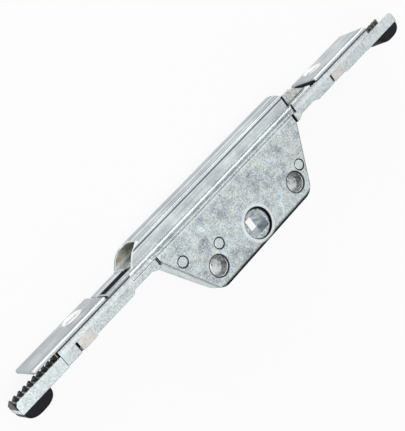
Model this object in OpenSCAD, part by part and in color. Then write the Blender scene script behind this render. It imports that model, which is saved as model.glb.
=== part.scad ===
// Espagnolette window gear: a drive case for a square spindle, with a toothed
// bar that slides along the edge of the sash when the handle is turned.
// X runs along the bar, Y points out of the sash edge, Z points at the handle.
// The origin is the spindle axis on the front face of the case. Millimetres.

/* [Case] */
// Thickness of the case, front face to back face
case_t = 9.6; // [9.4:0.1:10.5]
// Wall of each half of the case
wall_t = 1.4; // [1.3:0.1:1.5]
// Spindle axis to the bottom edge of the case
case_drop = 6.8; // [6.7:0.1:7.6]
// Half length of the case where it meets the arms
case_half = 36.6; // [33:0.1:41]
// Height at which the slanted sides end
shoulder_y = 14.2; // [13.8:0.1:14.4]
// Radius of the two bottom corners
corner_r = 5.6; // [5.4:0.1:6.2]
// Top edge of the front plate of the case
plate_top = 18.2; // [17.8:0.1:18.6]

/* [Spindle and handle screws] */
// Square hole for the spindle, across flats
spindle_sq = 7.1; // [7.02:0.02:7.2]
// Round hole in the case round the spindle
hub_hole_d = 10.9; // [10.7:0.1:11.1]
// Distance between the two handle screws
screw_pitch = 43; // [42:0.5:44]
// Hole in the case at each handle screw
screw_hole_d = 7.3; // [7:0.1:7.6]
// Bore of the post that the handle screw passes through
screw_bore_d = 5.4; // [5.2:0.1:5.6]

/* [Rack and pinion] */
// Gear module
gear_module = 1; // [1:0.01:1.01]
// Teeth that a full turn of the follower would have
gear_teeth = 16; // [16:4:16]
// Pressure angle in degrees
pressure_angle = 20; // [20:1:21]
// Turn of the handle in degrees
handle_turn = 90; // [80:5:90]
// Play between the teeth
gear_play = 0.3; // [0.2:0.05:0.4]

/* [Bar and arms] */
// Outer end of each arm, from the spindle axis
arm_end = 81; // [80.5:0.5:81]
// Outer end of each end guide
guide_end = 100.7; // [98:0.1:104]
// Left end of the toothed bar
bar_left = 100.9; // [99:0.1:104]
// Right end of the toothed bar
bar_right = 94; // [90:0.1:96]
// Pitch of the coupling teeth on the bar
tooth_pitch = 2.03; // [1.9:0.01:2.2]
// Width of the bar between the arms
bar_w = 3.4; // [3.2:0.1:3.6]

/* [Cover and faceplates] */
// Crown of the slide cover
cover_top = 26.2; // [26:0.1:26.8]
// Depth of the base strip behind the front face
strip_depth = 13; // [12.8:0.1:13.6]
// Length of a faceplate
plate_len = 32.4; // [30:0.1:33]
// Depth of a faceplate behind the front face
plate_depth = 15.2; // [14.6:0.1:15.5]
// Diameter of a faceplate's screw hole
plate_hole_d = 7; // [5:0.1:7.2]

/* [Hidden] */
$fn = 64;

// Fits and small steps
run_gap = 0.05;
press_gap = 0.02;
slide_gap = 0.3;
slit_w = 0.9;
cut = 0.5;
// Well clear of every piece, for cuts that run out
clear = 30;

// Depths, all measured behind the front face
back_z = -case_t;
mid_z = -case_t / 2;
front_in = -wall_t;
back_in = back_z + wall_t;
arm_face = -0.4;
rail_back = -1.9;

// Heights above the spindle axis
rail_low = 17.4;
rail_top = 19.9;
strip_low = 19.55;
strip_top = 20.3;
bar_low = 15.3;
bar_top = 19.2;
arm_floor = bar_low - slide_gap;

// Slanted side of the case: it rises from a foot beside the handle screw's hole.
// The front half's left foot stands out further, by the heel
foot_wall = 3.25;
side_foot = screw_pitch / 2 + screw_hole_d / 2 + foot_wall;
left_heel = 0.9;
corner_y = corner_r - case_drop;
seam = 0.1;

// Spindle hub and follower
hub_r = hub_hole_d / 2;
journal_r = hub_r - run_gap;
boss_depth = wall_t + 1;
boss_wall = 1.2;
hub_face = wall_t / 2;
gear_front = -boss_depth - slide_gap;
gear_back = back_z + boss_depth + slide_gap;

// Funnel-mouthed posts for the handle screws
post_flange = 0.6;
post_drop = 0.5;
funnel_depth = 3;
funnel_rim = 0.25;

// Pinion and rack
pitch_r = gear_module * gear_teeth / 2;
base_r = pitch_r * cos(pressure_angle);
tip_r = pitch_r + 0.9 * gear_module;
root_r = pitch_r - 1.2 * gear_module;
tooth_step = 360 / gear_teeth;
sector_half = 3;
sector_mid = 90 - handle_turn / 2;
circular_pitch = PI * gear_module;
flank_w = circular_pitch / 2 - gear_play / 2;
stroke = pitch_r * handle_turn * PI / 180;
rack_teeth = 8;
rack_front = gear_front - 0.1;
rack_back = gear_back + 0.1;
rack_tip = pitch_r - 0.9 * gear_module;
rack_root = pitch_r + 1.2 * gear_module;

// Bar and its slot
slot_mid = -5.3;
slot_w = 3.7;
bar_front = slot_mid + bar_w / 2;
bar_back = slot_mid - bar_w / 2;
channel_w = bar_w + 2 * slide_gap;
head_front = -1.6;
head_back = -8;
head_root = 17.55;
head_tip = 19.25;
head_low = 16.6;
pin_d = 2.2;
pin_x = [1, 12];
pin_low = rack_root + 1.8;

// Rail of the case, the cover over it and the slide under the cover
rail_left = case_half + 11;
rail_right = case_half + 2.2;
cover_r = 12.3;
cover_t = 0.7;
cover_back = 0.5 - strip_depth;
mouth_foot = 1.2 - rail_left;
mouth_rise = 4.7;
mouth_run = 7.6;
mouth_bend = [[2.2, 2.2], [mouth_rise - 0.3, mouth_rise - 0.3], [mouth_run, mouth_rise]];
tab_t = 0.6;
tab_x = [mouth_foot + 0.2, mouth_foot + 2.1, mouth_foot + 3.2];
slide_top = 24;
slide_knee = 22;
slide_low = strip_top + 2 * run_gap;
slide_front = slot_mid + slot_w / 2 + 0.35;
slide_back = slot_mid - slot_w / 2 - 0.45;
slide_left = 17.6 - rail_left;
slide_right = rail_right + 11.4;
groove_in = 0.7;
slide_neck = [slide_left + 6, slide_right - 10.2];

// Arms, with a lower edge that steps down toward the outer end
arm_start = case_half + slit_w;
arm_low = [shoulder_y + 1, shoulder_y, shoulder_y - 0.5];
arm_foot = [[arm_start, arm_low[1]], [arm_start + 1.6, arm_low[1]], [arm_start + 3.6, arm_low[0]]];
pocket_start = arm_end - 13;
pocket_front = head_front + slide_gap;
pocket_back = head_back - slide_gap - 0.1;
arm_steps = [[arm_start + 11.7, arm_low[0]], [arm_start + 13.1, arm_low[1]],
    [pocket_start - 0.1, arm_low[1]], [pocket_start + 0.2, arm_low[2]]];
lap_y = arm_floor - 0.6;
lap_start = arm_end - 6;

// Case rivets, set in from the slanted sides and beside the left handle screw
rivet_y = [10, 5.3, 3.3];
rivet_edge = [3.5, 5.2, 3.2];
rivet_r = 1.3;
rivet_head_r = 1.85;
rivet_head_t = 0.8;
rivets = [[rivet_edge[0] - side_x(rivet_y[0], 0), rivet_y[0]],
    [rivet_edge[1] - screw_pitch / 2, rivet_y[1]],
    [side_x(rivet_y[2], 0) - rivet_edge[2], rivet_y[2]]];

// Tongues of the arms, and the leaf springs in them
tongue_low = 7.7;
tongue_start = side_x(tongue_low, wall_t) - 4;
spring_half = 3;
spring_rise = 1.4;
spring_t = 0.35;
spring_x = (tongue_start + side_x(shoulder_y, wall_t)) / 2;
spring_top = bar_low - 0.1;
spring_floor = spring_top - spring_rise - 0.1;

// Stop keys
key_w = 6.2;
key_top = 17.2;
key_left = -pocket_start - 6.35;
key_right = pocket_start - 6.7;
nose_x = [key_right + 1.6, key_right + 4.6];
nose_y = [16, key_top];

// Faceplates
plate_low = strip_low;
plate_top_y = 20.8;
plate_front = -0.4;
plate_in_left = rail_left + 10.6;
plate_in_right = slide_right + 4;
plate_hole_in = 9.2;
plate_hole_z = -10.6;
plate_chamfer = 0.5;
screw_path_r = plate_hole_d / 2;
plate_peg_r = 1.1;
plate_peg_in = 2.3;
lip_in = 0.6;
plate_peg_low = 17.4;
plate_peg_top = plate_low + 0.7;
plate_peg_z = [-1.9, -8.5];

// End guides and feet
guide_start = arm_end + 0.2;
guide_low = 13.5;
guide_top = 17.6;
guide_back_top = arm_floor + 0.4;
guide_round = 1.5;
foot_half = 5.6;
foot_drop = 3.8;
foot_x = guide_end - foot_half - 0.1;
foot_power = 2.5;
foot_peg_r = 1.5;
pin_r = 1;
guide_pin_x = (lap_start + arm_end) / 2;

// Colours
zinc = "#c3c9c9";
zinc_dark = "#9aa3a3";
steel = "#aab0b4";
oiled = "#4c504e";
nylon = "#1c1c26";
passivate = "#c9c2b2";

// Shared shapes

// An outline pushed from one depth to another
module slab(z0, z1) {
    translate([0, 0, z0]) linear_extrude(z1 - z0) children();
}

// A box between two corners
module box(x, y, z) {
    translate([x[0], y[0], z[0]]) cube([x[1] - x[0], y[1] - y[0], z[1] - z[0]]);
}

// A cross-section drawn as [height, depth], pushed along the bar
module along_x(x0, x1) {
    translate([x0, 0, 0]) rotate([90, 0, 90]) linear_extrude(x1 - x0) children();
}

// An upright pin
module upright(x, z, y0, y1, r) {
    translate([x, y0, z]) rotate([-90, 0, 0]) cylinder(h = y1 - y0, r = r);
}

// The right-hand shape, or its mirror image for the left side
module on_side(side) {
    mirror([side < 0 ? 1 : 0, 0, 0]) children();
}

// Normal of a slanted side, and how far out it lies along that normal, drawn in by an inset
function side_lean(heel) = atan((case_half - side_foot - heel) / shoulder_y);
function side_n(heel) = [cos(side_lean(heel)), -sin(side_lean(heel))];
function side_d(inset, heel) = side_n(heel) * [case_half, shoulder_y] - inset;

// Half width of the case at a height, and the centre of its bottom corner
function side_x(y, inset, heel = 0) = (side_d(inset, heel) - side_n(heel)[1] * y) / side_n(heel)[0];
function corner_at(heel) = [side_x(corner_y, corner_r, heel), corner_y];

// One side of the case from its bottom edge to a height
function side_points(inset, top, heel) = [[corner_at(heel)[0], inset - case_drop],
    corner_at(heel) + (corner_r - inset) * side_n(heel), [side_x(top, inset, heel), top]];

// Outline of the case below the shoulder, drawn in by an inset
module case_shape(inset, top, heel) {
    left = side_points(inset, top, heel);
    polygon(concat(side_points(inset, top, 0), [for (i = [2:-1:0]) [-left[i][0], left[i][1]]]));
    translate(corner_at(0)) circle(corner_r - inset);
    translate([-corner_at(heel)[0], corner_y]) circle(corner_r - inset);
}

// Round holes that both halves of the case share, and room for the hub between the bosses
module case_holes(face, inward) {
    translate([0, 0, back_z + boss_depth])
        cylinder(h = case_t - 2 * boss_depth, r = journal_r + slide_gap);
    translate([0, 0, back_z - cut]) {
        cylinder(h = case_t + 2 * cut, r = hub_r);
        for (s = [-1, 1]) translate([s * screw_pitch / 2, 0, 0])
            cylinder(h = case_t + 2 * cut, d = screw_hole_d);
        for (p = rivets) translate(p) cylinder(h = case_t + 2 * cut, r = rivet_r + press_gap);
    }
    for (p = rivets) translate([p[0], p[1], face])
        translate([0, 0, inward > 0 ? -cut : -rivet_head_t])
            cylinder(h = rivet_head_t + cut, r = rivet_head_r + 0.1);
}

// Case

module case_front() {
    color(zinc) difference() {
        union() {
            slab(front_in, 0) {
                case_shape(0, shoulder_y, left_heel);
                translate([-case_half, shoulder_y - seam])
                    square([2 * case_half, plate_top - shoulder_y + seam]);
            }
            slab(mid_z, 0) difference() {
                case_shape(0, shoulder_y, left_heel);
                case_shape(wall_t, shoulder_y + 1, left_heel);
            }
            slab(-boss_depth, 0) circle(hub_r + boss_wall);
            box([-rail_left, rail_right], [rail_low, rail_top], [rail_back, arm_face]);
        }
        case_holes(0, -1);
    }
}

module case_back() {
    color(zinc_dark) difference() {
        union() {
            slab(back_z, back_in) {
                case_shape(0, shoulder_y, 0);
                translate([-case_half, shoulder_y - seam])
                    square([2 * case_half, strip_low - shoulder_y + seam]);
            }
            slab(back_z, mid_z) difference() {
                case_shape(0, shoulder_y, 0);
                case_shape(wall_t, shoulder_y + 1, 0);
            }
            slab(back_z, back_z + boss_depth) circle(hub_r + boss_wall);
        }
        case_holes(back_z, 1);
    }
}

module case_rivets() {
    color(steel) for (p = rivets) translate([p[0], p[1], back_z]) {
        cylinder(h = case_t, r = rivet_r);
        cylinder(h = rivet_head_t, r = rivet_head_r);
        translate([0, 0, case_t - rivet_head_t]) cylinder(h = rivet_head_t, r = rivet_head_r);
    }
}

// Flanged posts that keep the case open where the handle screws pass
module fixing_post(side) {
    translate([side * screw_pitch / 2, 0, 0]) difference() {
        union() {
            translate([0, 0, back_in])
                cylinder(h = front_in - back_in, r = screw_hole_d / 2 + post_flange);
            translate([0, 0, back_z])
                cylinder(h = case_t - post_drop, r = screw_hole_d / 2 - run_gap);
        }
        translate([0, 0, back_z - cut])
            cylinder(h = case_t + 2 * cut, d = screw_bore_d);
        translate([0, 0, -funnel_depth])
            cylinder(h = funnel_depth - post_drop, r1 = screw_bore_d / 2,
                r2 = screw_hole_d / 2 - funnel_rim);
        translate([0, 0, -post_drop])
            cylinder(h = cut, r = screw_hole_d / 2 - funnel_rim);
    }
}

module fixing_post_left() color(steel) fixing_post(-1);

module fixing_post_right() color(steel) fixing_post(1);

// Arms that carry the bar

// Front outline of an arm, with its stepped lower edge
module arm_outline() {
    polygon(concat(arm_foot, arm_steps,
        [[arm_end, arm_low[2]], [arm_end, strip_low], [arm_start, strip_low]]));
}

// Outline of the tongue that the two halves of the case clamp
module tongue_outline() {
    low_x = side_x(tongue_low, wall_t) - 0.1;
    high_x = side_x(shoulder_y, wall_t) - 0.1;
    polygon([[tongue_start, tongue_low], [low_x, tongue_low], [high_x, shoulder_y],
        [arm_start + 1, arm_low[0]], [arm_start + 1, strip_low], [tongue_start, strip_low]]);
}

// One arm for the right side, open where the bar, its toothed head and the key go
module arm(rail_end, key_x, key_z, plate_in) {
    difference() {
        union() {
            slab(back_z, arm_face) arm_outline();
            slab(back_in, front_in) tongue_outline();
        }
        box([tongue_start - cut, pocket_start + cut], [arm_floor, clear],
            [slot_mid - channel_w / 2, slot_mid + channel_w / 2]);
        box([pocket_start, arm_end + cut], [arm_floor, clear], [pocket_back, pocket_front]);
        box([lap_start, arm_end + cut], [lap_y, clear], [pocket_back, pocket_front]);
        box([tongue_start - cut, rail_end + 0.1], [rail_low - 0.1, clear], [rail_back - run_gap, cut]);
        box([spring_x - spring_half - 0.2, spring_x + spring_half + 0.2], [spring_floor, clear],
            [bar_back, bar_front]);
        box(key_x, [arm_low[2] - cut, key_top], [key_z, cut]);
        upright(plate_in + plate_hole_in, plate_hole_z, 0, clear, screw_path_r);
        upright(guide_pin_x, mid_z, guide_low - cut, arm_floor + cut, pin_r + press_gap);
        for (z = plate_peg_z)
            upright(plate_in + plate_peg_in, z, plate_peg_low, clear, plate_peg_r + press_gap);
        translate([-rivets[0][0], rivets[0][1], back_z])
            cylinder(h = case_t, r = rivet_r + press_gap);
    }
}

module left_arm() {
    color(zinc) on_side(-1)
        arm(rail_left, [-key_left - key_w, -key_left + slit_w], pocket_front, plate_in_left);
}

// The right arm's front wall runs on as a lip over the end guide, up to the end of the faceplate
module right_arm() {
    color(zinc) union() {
        arm(rail_right + slit_w, [key_right - slit_w, key_right + key_w], slot_mid + channel_w / 2,
            plate_in_right);
        box([arm_end - 1, plate_in_right + plate_len - lip_in], [guide_top + run_gap, strip_low],
            [pocket_front, arm_face]);
    }
}

// Keys set in the front of the arms: the right one stops the bar at both ends of its stroke
module stop_key_left() {
    color(passivate)
        box([key_left, key_left + key_w], [arm_low[2], key_top], [pocket_front, arm_face]);
}

module stop_key_right() {
    color(passivate) {
        box([key_right, key_right + key_w], [arm_low[1], key_top], [slot_mid + channel_w / 2, arm_face]);
        box(nose_x, nose_y, [bar_front - 0.7, pocket_front]);
    }
}

// Bowed leaves under the bar, which keep it from rattling
module bar_springs() {
    r = (spring_half * spring_half + spring_rise * spring_rise) / (2 * spring_rise);
    color(steel) for (s = [-1, 1]) on_side(s) slab(bar_back + 0.4, bar_front - 0.4) intersection() {
        translate([spring_x, spring_top - r]) difference() {
            circle(r);
            circle(r - spring_t);
        }
        translate([spring_x - spring_half, spring_top - spring_rise])
            square([2 * spring_half, spring_rise + 1]);
    }
}

// Base strip, cover and slide

module base_strip() {
    x0 = -plate_in_left + 0.8;
    x1 = slide_right + 0.8;
    color(zinc) difference() {
        box([x0, x1], [strip_low, strip_top], [-strip_depth, arm_face - 0.3]);
        box([-rail_left - run_gap, rail_right + run_gap], [rail_low, clear], [rail_back - run_gap, cut]);
        box([x0 + 0.8, x1 + cut], [rail_low, clear], [slot_mid - slot_w / 2, slot_mid + slot_w / 2]);
    }
}

module slot_plug(x) {
    color(nylon)
        box(x, [strip_low, strip_top - run_gap], [slot_mid - slot_w / 2, slot_mid + slot_w / 2]);
}

module slot_plug_left() slot_plug([-plate_in_left + 1.6, mouth_foot + 0.5]);

module slot_plug_right() {
    color(nylon)
        box([slide_right + 0.8 + run_gap, plate_in_right - run_gap], [strip_low, strip_top - 0.25],
            [-strip_depth, arm_face - 0.3]);
}

// Cross-section of the cover: a sheet bent over the slide in a low arch, drawn in by an inset
module cover_section(inset, low) {
    front = rail_back - inset;
    back = cover_back + inset;
    intersection() {
        translate([cover_top - cover_r, (front + back) / 2]) circle(cover_r - inset);
        translate([low, back]) square([cover_top - low, front - back]);
    }
}

// Open mouth of the cover, seen from the front: a slant that rounds over into the crown
module mouth_shape() {
    steps = 10;
    bend = [for (i = [0:steps]) let (t = i / steps)
        (1 - t) * (1 - t) * mouth_bend[0] + 2 * t * (1 - t) * mouth_bend[1] + t * t * mouth_bend[2]];
    polygon(concat([[-4, -4]], bend, [[mouth_run, clear], [-4, clear]]));
}

// Floor tab turned in between the walls of the cover's mouth, with a slanted front edge
module mouth_tab() {
    wall_z = [cover_back + cover_t / 2, rail_back - cover_t / 2];
    translate([0, strip_top + tab_t, 0]) rotate([90, 0, 0]) linear_extrude(tab_t)
        polygon([[tab_x[0], wall_z[0]], [tab_x[1], wall_z[1]], [tab_x[2], wall_z[1]], [tab_x[2], wall_z[0]]]);
}

module slide_cover() {
    color(zinc) difference() {
        union() {
            along_x(-rail_left, rail_right) difference() {
                cover_section(0, strip_top);
                cover_section(cover_t, strip_top - cut);
            }
            mouth_tab();
        }
        translate([mouth_foot, strip_top]) slab(-clear, cut) mouth_shape();
    }
}

// Sliding piece under the cover, with raked ends and a neck that runs in the slot
module upper_slide() {
    rake = (slide_top - strip_top) * 1.5;
    section = [[slide_low, slide_front], [slide_top, slide_front], [slide_top, slide_front - 1],
        [slide_knee, slide_back], [slide_low, slide_back]];
    color(passivate) difference() {
        union() {
            along_x(slide_left, slide_right) polygon(section);
            box(slide_neck, [bar_top, strip_top + 1], [bar_back + 0.15, bar_front - 0.15]);
        }
        slab(-clear, cut)
            polygon([[slide_right, slide_low], [slide_right - rake, slide_top + 0.1],
                [slide_right, slide_top + 1], [slide_right + 1, slide_low]]);
        slab(-clear, cut)
            polygon([[slide_left, slide_low], [slide_left + rake, slide_top + 0.1],
                [slide_left, slide_top + 1], [slide_left - 1, slide_low]]);
        box([rail_right + groove_in, rail_right + groove_in + slit_w], [strip_top, clear],
            [slide_front - 1.2, 0]);
        for (x = pin_x)
            upright(x, slot_mid, bar_low, slide_top - 1.4, pin_d / 2 + press_gap);
    }
}

// Bar and rack

// A toothed end of the bar: a sloping top, cut across by the coupling teeth
module bar_head(x0, x1, from, step) {
    teeth = floor((x1 - x0) / tooth_pitch);
    difference() {
        along_x(x0, x1)
            polygon([[bar_low, head_front], [head_tip, head_front], [head_tip, head_front - 0.8],
                [head_low, head_back], [bar_low, head_back]]);
        for (i = [0:teeth - 1]) translate([from + step * (i + 0.5) * tooth_pitch, head_root, 0])
            slab(-clear, cut) polygon([[-0.58, 0], [0.58, 0], [0.92, 3], [-0.92, 3]]);
    }
}

module drive_bar() {
    color(oiled) difference() {
        union() {
            box([-guide_start - 1, arm_end + 1], [bar_low, bar_top], [bar_back, bar_front]);
            bar_head(-bar_left, -guide_start - 0.2, -bar_left, 1);
            bar_head(arm_end, bar_right, bar_right, -1);
        }
        box([nose_x[0] - slide_gap, nose_x[1] + stroke + slide_gap],
            [nose_y[0] - slide_gap, nose_y[1] + slide_gap], [bar_front - 1, 0]);
        for (x = pin_x)
            upright(x, slot_mid, bar_low - cut, bar_top + cut, pin_d / 2 + press_gap);
    }
}

// Straight-sided rack tooth that points down at the pinion
module rack_tooth() {
    lean = tan(pressure_angle);
    tip = flank_w / 2 - (pitch_r - rack_tip) * lean;
    root = flank_w / 2 + (rack_root - pitch_r) * lean;
    polygon([[-tip, rack_tip], [tip, rack_tip], [root, rack_root + 0.1], [-root, rack_root + 0.1]]);
}

module drive_rack() {
    first = -1.5 * circular_pitch;
    last = first + (rack_teeth - 1) * circular_pitch;
    color(steel) difference() {
        slab(rack_back, rack_front) {
            for (i = [0:rack_teeth - 1]) translate([first + i * circular_pitch, 0]) rack_tooth();
            translate([first - 1.5, rack_root]) square([last - first + 3, bar_low - rack_root]);
        }
        for (x = pin_x)
            upright(x, slot_mid, pin_low, bar_low + cut, pin_d / 2 + press_gap);
    }
}

module slide_pins() {
    color(steel) for (x = pin_x)
        upright(x, slot_mid, pin_low + run_gap, slide_top - 1.4 - run_gap, pin_d / 2);
}

// Follower

// Half angle of a pinion tooth at a radius, from the involute of the base circle
function involute(a) = tan(a) * 180 / PI - a;
function tooth_half(r) = flank_w / 2 / pitch_r * 180 / PI + involute(pressure_angle)
    - involute(acos(min(1, base_r / r)));

// A pinion tooth that points along the angle given
module pinion_tooth(angle) {
    steps = 8;
    radii = concat([root_r - 0.3], [for (i = [0:steps]) base_r + (tip_r - base_r) * i / steps]);
    right = [for (r = radii) r * [cos(angle - tooth_half(r)), sin(angle - tooth_half(r))]];
    left = [for (r = radii) r * [cos(angle + tooth_half(r)), sin(angle + tooth_half(r))]];
    polygon(concat(right, [for (i = [len(left) - 1:-1:0]) left[i]]));
}

module follower() {
    spread = (sector_half + 0.4) * tooth_step;
    far = 3 * root_r;
    color(steel) difference() {
        union() {
            translate([0, 0, back_z + hub_face])
                cylinder(h = case_t - 2 * hub_face, r = journal_r);
            slab(gear_back, gear_front) {
                intersection() {
                    circle(root_r);
                    polygon(concat([[0, 0]], [for (i = [-2:2]) far * [cos(sector_mid + i * spread / 2),
                        sin(sector_mid + i * spread / 2)]]));
                }
                for (i = [-sector_half:sector_half]) pinion_tooth(sector_mid + i * tooth_step);
            }
        }
        translate([-spindle_sq / 2, -spindle_sq / 2, back_z]) cube([spindle_sq, spindle_sq, case_t]);
    }
}

// Faceplates

module faceplate(inner) {
    outer = inner + plate_len;
    hole_x = inner + plate_hole_in;
    difference() {
        box([inner, outer], [plate_low, plate_top_y], [-plate_depth, plate_front]);
        upright(hole_x, plate_hole_z, plate_low - cut, plate_top_y + cut, plate_hole_d / 2);
        translate([hole_x, plate_top_y - plate_chamfer, plate_hole_z]) rotate([-90, 0, 0])
            cylinder(h = plate_chamfer, r1 = plate_hole_d / 2, r2 = plate_hole_d / 2 + plate_chamfer);
        for (z = plate_peg_z)
            upright(inner + plate_peg_in, z, plate_low - cut, plate_peg_top, plate_peg_r + press_gap);
    }
}

module faceplate_left() color(zinc) on_side(-1) faceplate(plate_in_left);

module faceplate_right() color(zinc) faceplate(plate_in_right);

module plate_pegs() {
    peg_x = [-plate_in_left - plate_peg_in, plate_in_right + plate_peg_in];
    color(steel) for (x = peg_x, z = plate_peg_z)
        upright(x, z, plate_peg_low + run_gap, plate_peg_top - run_gap, plate_peg_r);
}

// End guides and feet

module end_guide() {
    difference() {
        union() {
            slab(back_z, arm_face) {
                translate([guide_start, guide_low])
                    square([guide_end - guide_start - guide_round, guide_top - guide_low]);
                translate([guide_start, guide_low])
                    square([guide_end - guide_start, guide_top - guide_low - guide_round]);
                translate([guide_end - guide_round, guide_top - guide_round])
                    circle(guide_round);
            }
            box([lap_start + 0.1, guide_start + 1], [lap_y, arm_floor],
                [pocket_back + run_gap, pocket_front - run_gap]);
        }
        box([guide_start - cut, guide_end + cut], [arm_floor, clear], [pocket_back, pocket_front]);
        box([guide_start - cut, guide_end + cut], [guide_back_top, clear], [back_z - cut, pocket_back + cut]);
        upright(foot_x, mid_z, guide_low - cut, arm_floor + cut, foot_peg_r + run_gap);
        upright(guide_pin_x, mid_z, guide_low - cut, arm_floor + cut, pin_r + press_gap);
    }
}

module end_guide_left() color(zinc) on_side(-1) end_guide();

module end_guide_right() color(zinc) end_guide();

module guide_pins() {
    color(steel) for (s = [-1, 1])
        upright(s * guide_pin_x, mid_z, arm_low[2], arm_floor, pin_r);
}

// Half-round glide foot: a flattened arc under the end guide, held by a peg
module foot() {
    steps = 32;
    arc = [for (i = [0:steps]) let (a = 180 * i / steps, c = cos(a), s = sin(a))
        [foot_x + foot_half * sign(c) * pow(abs(c), 2 / foot_power),
            guide_low - foot_drop * pow(abs(s), 2 / foot_power)]];
    slab(back_z + 0.3, arm_face - 0.1) polygon(arc);
    upright(foot_x, mid_z, guide_low - cut, arm_floor - 0.1, foot_peg_r);
}

module foot_left() color(nylon) on_side(-1) foot();

module foot_right() color(nylon) foot();

case_front();
case_back();
case_rivets();
left_arm();
right_arm();
base_strip();
slide_cover();
upper_slide();
drive_bar();
drive_rack();
slide_pins();
follower();
fixing_post_left();
fixing_post_right();
faceplate_left();
faceplate_right();
plate_pegs();
end_guide_left();
end_guide_right();
guide_pins();
foot_left();
foot_right();
stop_key_left();
stop_key_right();
bar_springs();
slot_plug_left();
slot_plug_right();
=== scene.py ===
"""Looks of an espagnolette window gear: die-cast case, drawn cover and wings, toothed bar and nylon feet."""

import bpy
import numpy as np
from mathutils import Matrix, Vector


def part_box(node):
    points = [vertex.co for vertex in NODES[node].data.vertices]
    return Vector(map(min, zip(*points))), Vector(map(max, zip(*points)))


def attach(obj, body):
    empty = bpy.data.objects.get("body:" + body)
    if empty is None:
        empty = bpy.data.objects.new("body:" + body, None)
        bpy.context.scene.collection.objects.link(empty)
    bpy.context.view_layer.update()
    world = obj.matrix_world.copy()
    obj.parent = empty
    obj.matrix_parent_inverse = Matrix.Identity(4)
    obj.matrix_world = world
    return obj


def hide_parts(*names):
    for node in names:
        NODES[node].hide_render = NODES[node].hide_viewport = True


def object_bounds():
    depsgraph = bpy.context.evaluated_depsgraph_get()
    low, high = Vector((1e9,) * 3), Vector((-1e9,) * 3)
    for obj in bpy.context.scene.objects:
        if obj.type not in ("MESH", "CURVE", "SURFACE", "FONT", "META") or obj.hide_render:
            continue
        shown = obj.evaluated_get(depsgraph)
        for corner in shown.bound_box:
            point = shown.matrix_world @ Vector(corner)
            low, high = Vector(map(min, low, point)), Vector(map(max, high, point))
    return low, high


bl_info = {
    "name": "Window gear looks",
    "version": (1, 0, 0),
    "blender": (4, 5, 0),
    "location": "View3D > Sidebar > Window gear",
    "description": "Dresses a packed espagnolette window gear and sets up its studio",
    "category": "Object",
}

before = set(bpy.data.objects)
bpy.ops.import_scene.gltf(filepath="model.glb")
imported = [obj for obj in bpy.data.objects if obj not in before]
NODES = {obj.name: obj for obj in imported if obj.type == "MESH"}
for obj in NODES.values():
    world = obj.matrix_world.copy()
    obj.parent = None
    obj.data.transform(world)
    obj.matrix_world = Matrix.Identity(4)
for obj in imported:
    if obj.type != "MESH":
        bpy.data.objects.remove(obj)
CAD_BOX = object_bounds()
MM = 0.001

# Directions across a line: along the bar, out of the sash edge and toward the handle
X, Y, Z = (1, 0, 0), (0, 1, 0), (0, 0, 1)

WHITE = (1, 1, 1, 1)

# Places on the case front in millimetres: the rivets, the handle screws along the bar, and all the holes, each
# with its radius, the width of its dark ring of old oil and painted shade, and how bright its collar is, as rubbed
# metal and a painted highlight
RIVETS = ((-30.675, 10.0), (-16.3, 5.3), (27.105, 3.3))
POSTS = (-21.5, 21.5)
HOLES = (*((x, y, 1.95, 0.2, 0.0) for x, y in RIVETS), *((x, 0.0, 3.65, 0.35, 0.0) for x in POSTS),
         (0.0, 0.0, 5.45, 0.15, 0.6))
# The slanted sides of the case front: the direction across each and its distance from the spindle axis
LEFT_SIDE, LEFT_REACH = (-0.8894, -0.4571, 0), 26.06
RIGHT_SIDE, RIGHT_REACH = (0.866, -0.5, 0), 24.6
# The bar's coupling teeth: the middle of one gap, the pitch, the distance from the spindle where they start, and
# how far the painted highlight line lies from the middle of a gap on the right end
TOOTH_GAP, TOOTH_PITCH, TOOTH_START, TOOTH_SHIFT = -99.885, 2.03, 80.8, 0.68
# The screw hole of a wing: its radius and countersink, its distance from the inner end and its depth behind the front
WING_HOLE_R, WING_SINK, WING_HOLE_IN, WING_HOLE_Z = 3.5, 0.5, 9.2, -10.6


def linear(code):
    """Turns an sRGB hex colour into linear red, green, blue and full alpha."""
    srgb = np.array([int(code[i:i + 2], 16) for i in (1, 3, 5)]) / 255
    light = np.where(srgb <= 0.04045, srgb / 12.92, ((srgb + 0.055) / 1.055) ** 2.4)
    return (*light.tolist(), 1.0)


def millimetre_box(node):
    """Low and high corner of a CAD node in millimetres."""
    return tuple(np.array(corner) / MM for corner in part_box(node))


def colour_setting(title, words, code):
    """A colour property whose default is an sRGB hex value."""
    return bpy.props.FloatVectorProperty(
        name=title, description=words, subtype="COLOR", size=4, min=0.0, max=1.0, default=linear(code))


def length_setting(title, words, millimetres):
    """A length property whose default is given in millimetres."""
    return bpy.props.FloatProperty(
        name=title, description=words, default=millimetres * MM, min=0.0, subtype="DISTANCE", unit="LENGTH")


class GearSizes(bpy.types.PropertyGroup):
    """Sizes of the formed pieces and of the patterns in their finish."""

    edge_round: length_setting("Edge rounding", "Radius that catches the light on the edges", 0.25)
    case_round: length_setting("Case edge", "Radius of the edges of the case", 0.4)
    low_round: length_setting("Lower edge", "Radius of the case's bottom edge", 1.2)
    cloud: length_setting("Passivate clouds", "Width of the coloured clouds on the zinc", 8.0)
    speckle: length_setting("Speckle", "Width of the fine grain in the zinc", 0.6)
    streak: length_setting("Drawing streaks", "Spacing of the lines that drawing leaves along the strip", 0.45)
    cover_sheet: length_setting("Cover sheet", "Thickness of the sheet bent over the slide", 0.7)
    cover_bend: length_setting("Cover bends", "Length over which each bend of the cover is rounded", 0.8)
    plate_round: length_setting("Wing edge", "Radius of the rolled front edge of a wing", 0.55)
    rivet_crown: length_setting("Rivet crown", "Height of the crown on a rivet head", 0.08)
    foot_round: length_setting("Foot edge", "Radius of the side edges of a foot", 0.8)


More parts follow.
